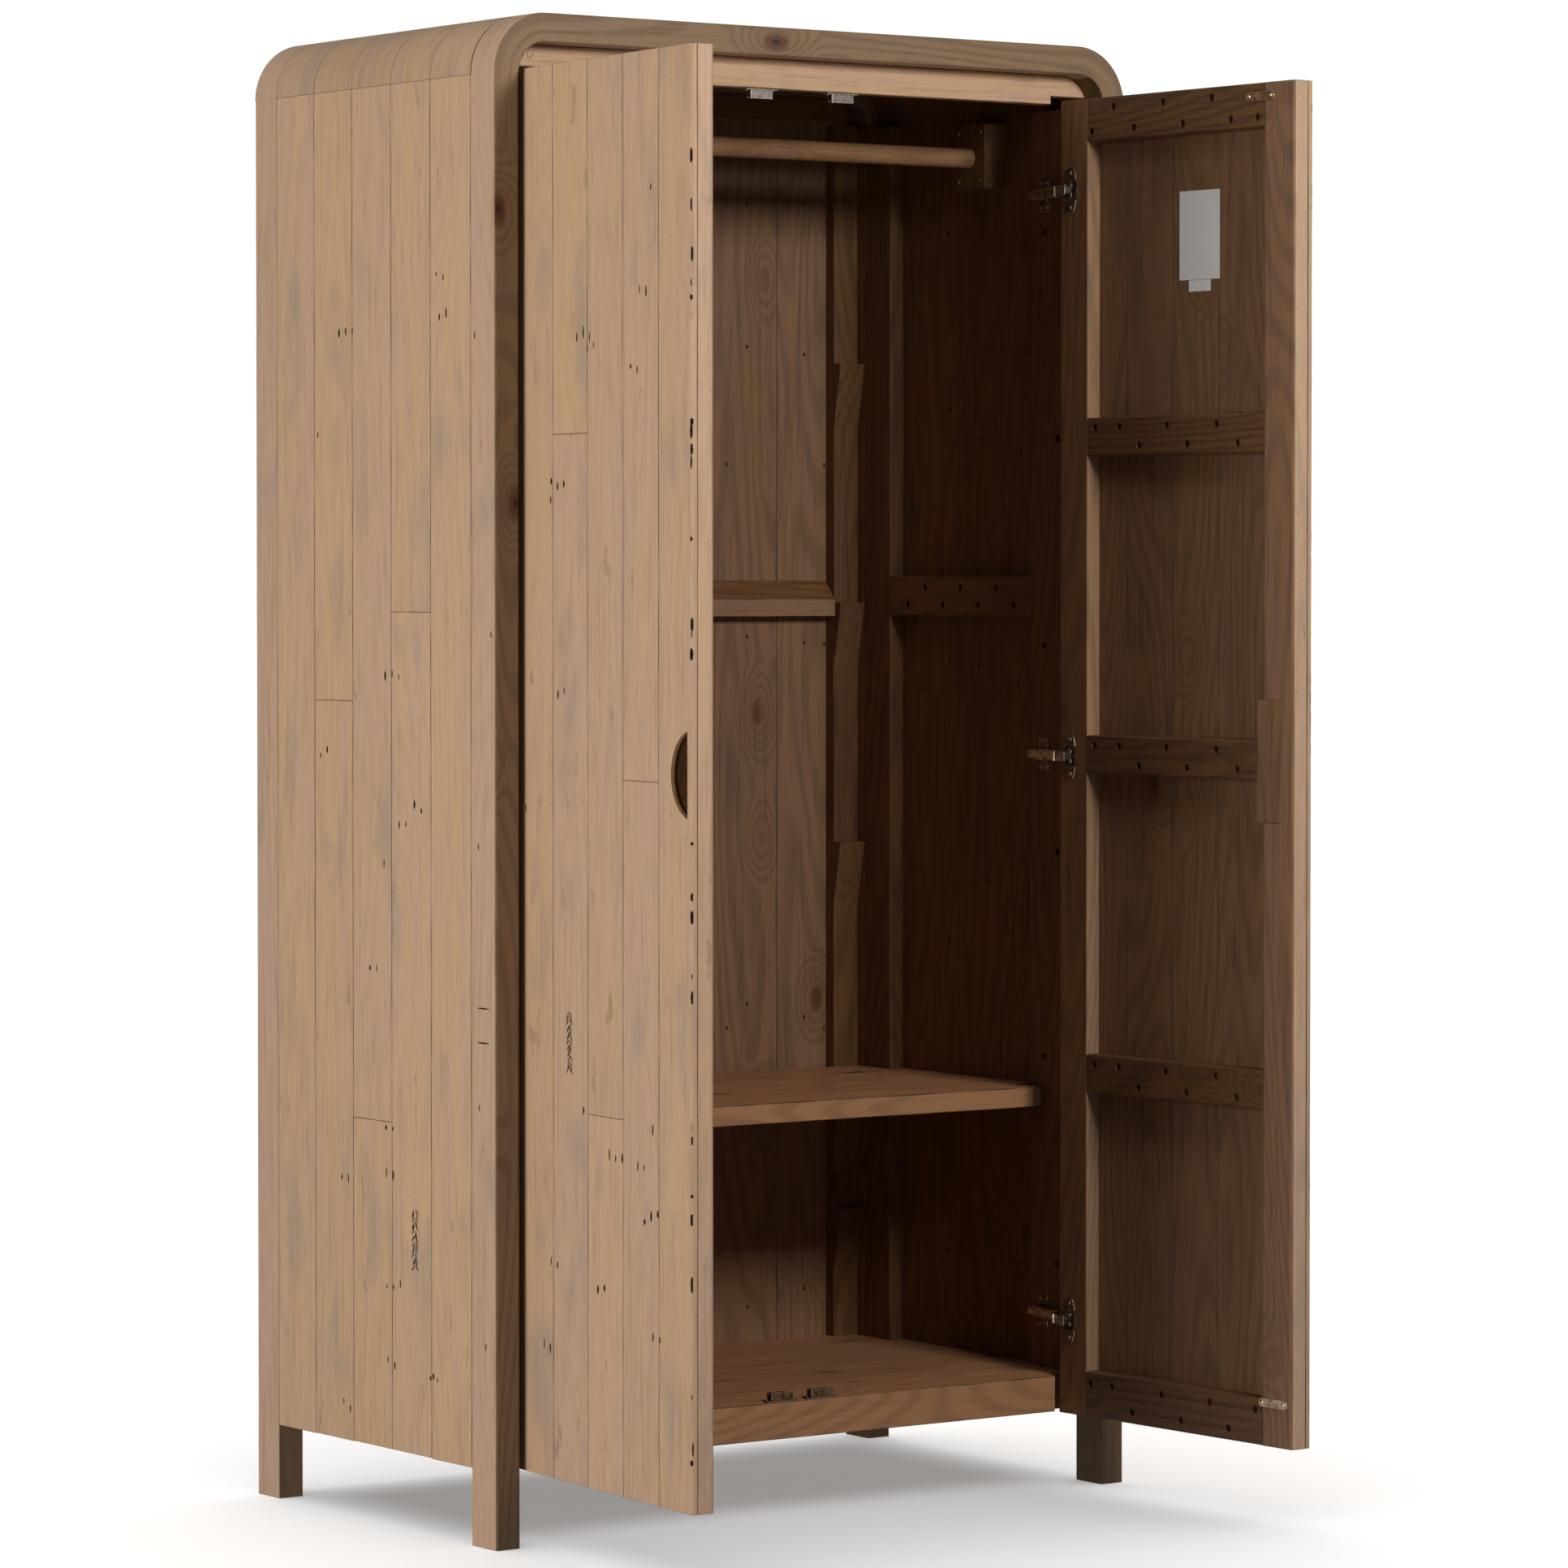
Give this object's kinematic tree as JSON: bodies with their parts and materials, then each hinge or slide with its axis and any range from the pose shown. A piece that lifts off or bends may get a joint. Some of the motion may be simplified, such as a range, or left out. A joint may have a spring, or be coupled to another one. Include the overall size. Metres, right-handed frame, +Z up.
{
  "type": "armoire",
  "caption": "Two-door planked wooden armoire with a rounded top, standing open on leg posts: hanging rod, shelf on toothed strips, half-moon finger pulls and cup hinges",
  "frame": {"origin": "on the floor under the middle of the whole armoire with its doors standing open", "axes": "+Z up, doors face -Y, +X to the right seen from the front"},
  "size_m": [1.04, 1.0472, 2],
  "materials": {
    "outer_pine": "matte, sun-bleached reclaimed pine with nail holes",
    "inner_pine": "matte reclaimed pine, darker in the shade",
    "hinge_steel": "satin nickel",
    "bronze_catch": "antique bronze"
  },
  "bodies": {
    "carcass": {"left_front_leg": "outer_pine", "left_back_leg": "outer_pine", "left_corner_moulding": "outer_pine", "left_side_panel": "outer_pine", "right_front_leg": "outer_pine", "right_back_leg": "outer_pine", "right_corner_moulding": "outer_pine", "right_side_panel": "outer_pine", "front_top_frame": "outer_pine", "back_top_frame": "outer_pine", "top_panel": "outer_pine", "header_board": "outer_pine", "left_inner_frame": "inner_pine", "left_rear_toothed_strip": "inner_pine", "left_front_toothed_strip": "inner_pine", "left_rod_block": "inner_pine", "right_inner_frame": "inner_pine", "right_rear_toothed_strip": "inner_pine", "right_front_toothed_strip": "inner_pine", "right_rod_block": "inner_pine", "bottom_board": "inner_pine", "shelf": "inner_pine", "hanging_rod": "inner_pine", "back_panel": "inner_pine", "back_middle_rail": "inner_pine", "left_top_catch": "hinge_steel", "left_bottom_hinge_arm": "hinge_steel", "left_middle_hinge_arm": "hinge_steel", "left_top_hinge_arm": "hinge_steel", "right_top_catch": "hinge_steel", "right_bottom_hinge_arm": "hinge_steel", "right_middle_hinge_arm": "hinge_steel", "right_top_hinge_arm": "hinge_steel", "left_bottom_catch": "bronze_catch", "right_bottom_catch": "bronze_catch"},
    "left_door": {"left_door_face": "outer_pine", "left_door_hinge_stile": "inner_pine", "left_door_free_stile": "inner_pine", "left_door_pull_block": "inner_pine", "left_door_top_rail": "inner_pine", "left_door_bottom_rail": "inner_pine", "left_door_batten_1": "inner_pine", "left_door_batten_2": "inner_pine", "left_door_batten_3": "inner_pine", "left_door_bottom_hinge_cup": "hinge_steel", "left_door_middle_hinge_cup": "hinge_steel", "left_door_top_hinge_cup": "hinge_steel"},
    "right_door": {"right_door_face": "outer_pine", "right_door_hinge_stile": "inner_pine", "right_door_free_stile": "inner_pine", "right_door_pull_block": "inner_pine", "right_door_top_rail": "inner_pine", "right_door_bottom_rail": "inner_pine", "right_door_batten_1": "inner_pine", "right_door_batten_2": "inner_pine", "right_door_batten_3": "inner_pine", "right_door_bottom_hinge_cup": "hinge_steel", "right_door_middle_hinge_cup": "hinge_steel", "right_door_top_hinge_cup": "hinge_steel"}
  },
  "joints": [
    {"name": "left_door_hinge", "type": "hinge", "parent": "carcass", "child": "left_door", "pos_m": [-0.4565, -0.06839, 0], "axis": [0, 0, -1], "range_deg": [-95, 15]},
    {"name": "right_door_hinge", "type": "hinge", "parent": "carcass", "child": "right_door", "pos_m": [0.4565, -0.06839, 0], "axis": [0, 0, 1], "range_deg": [-93, 17]}
  ]
}
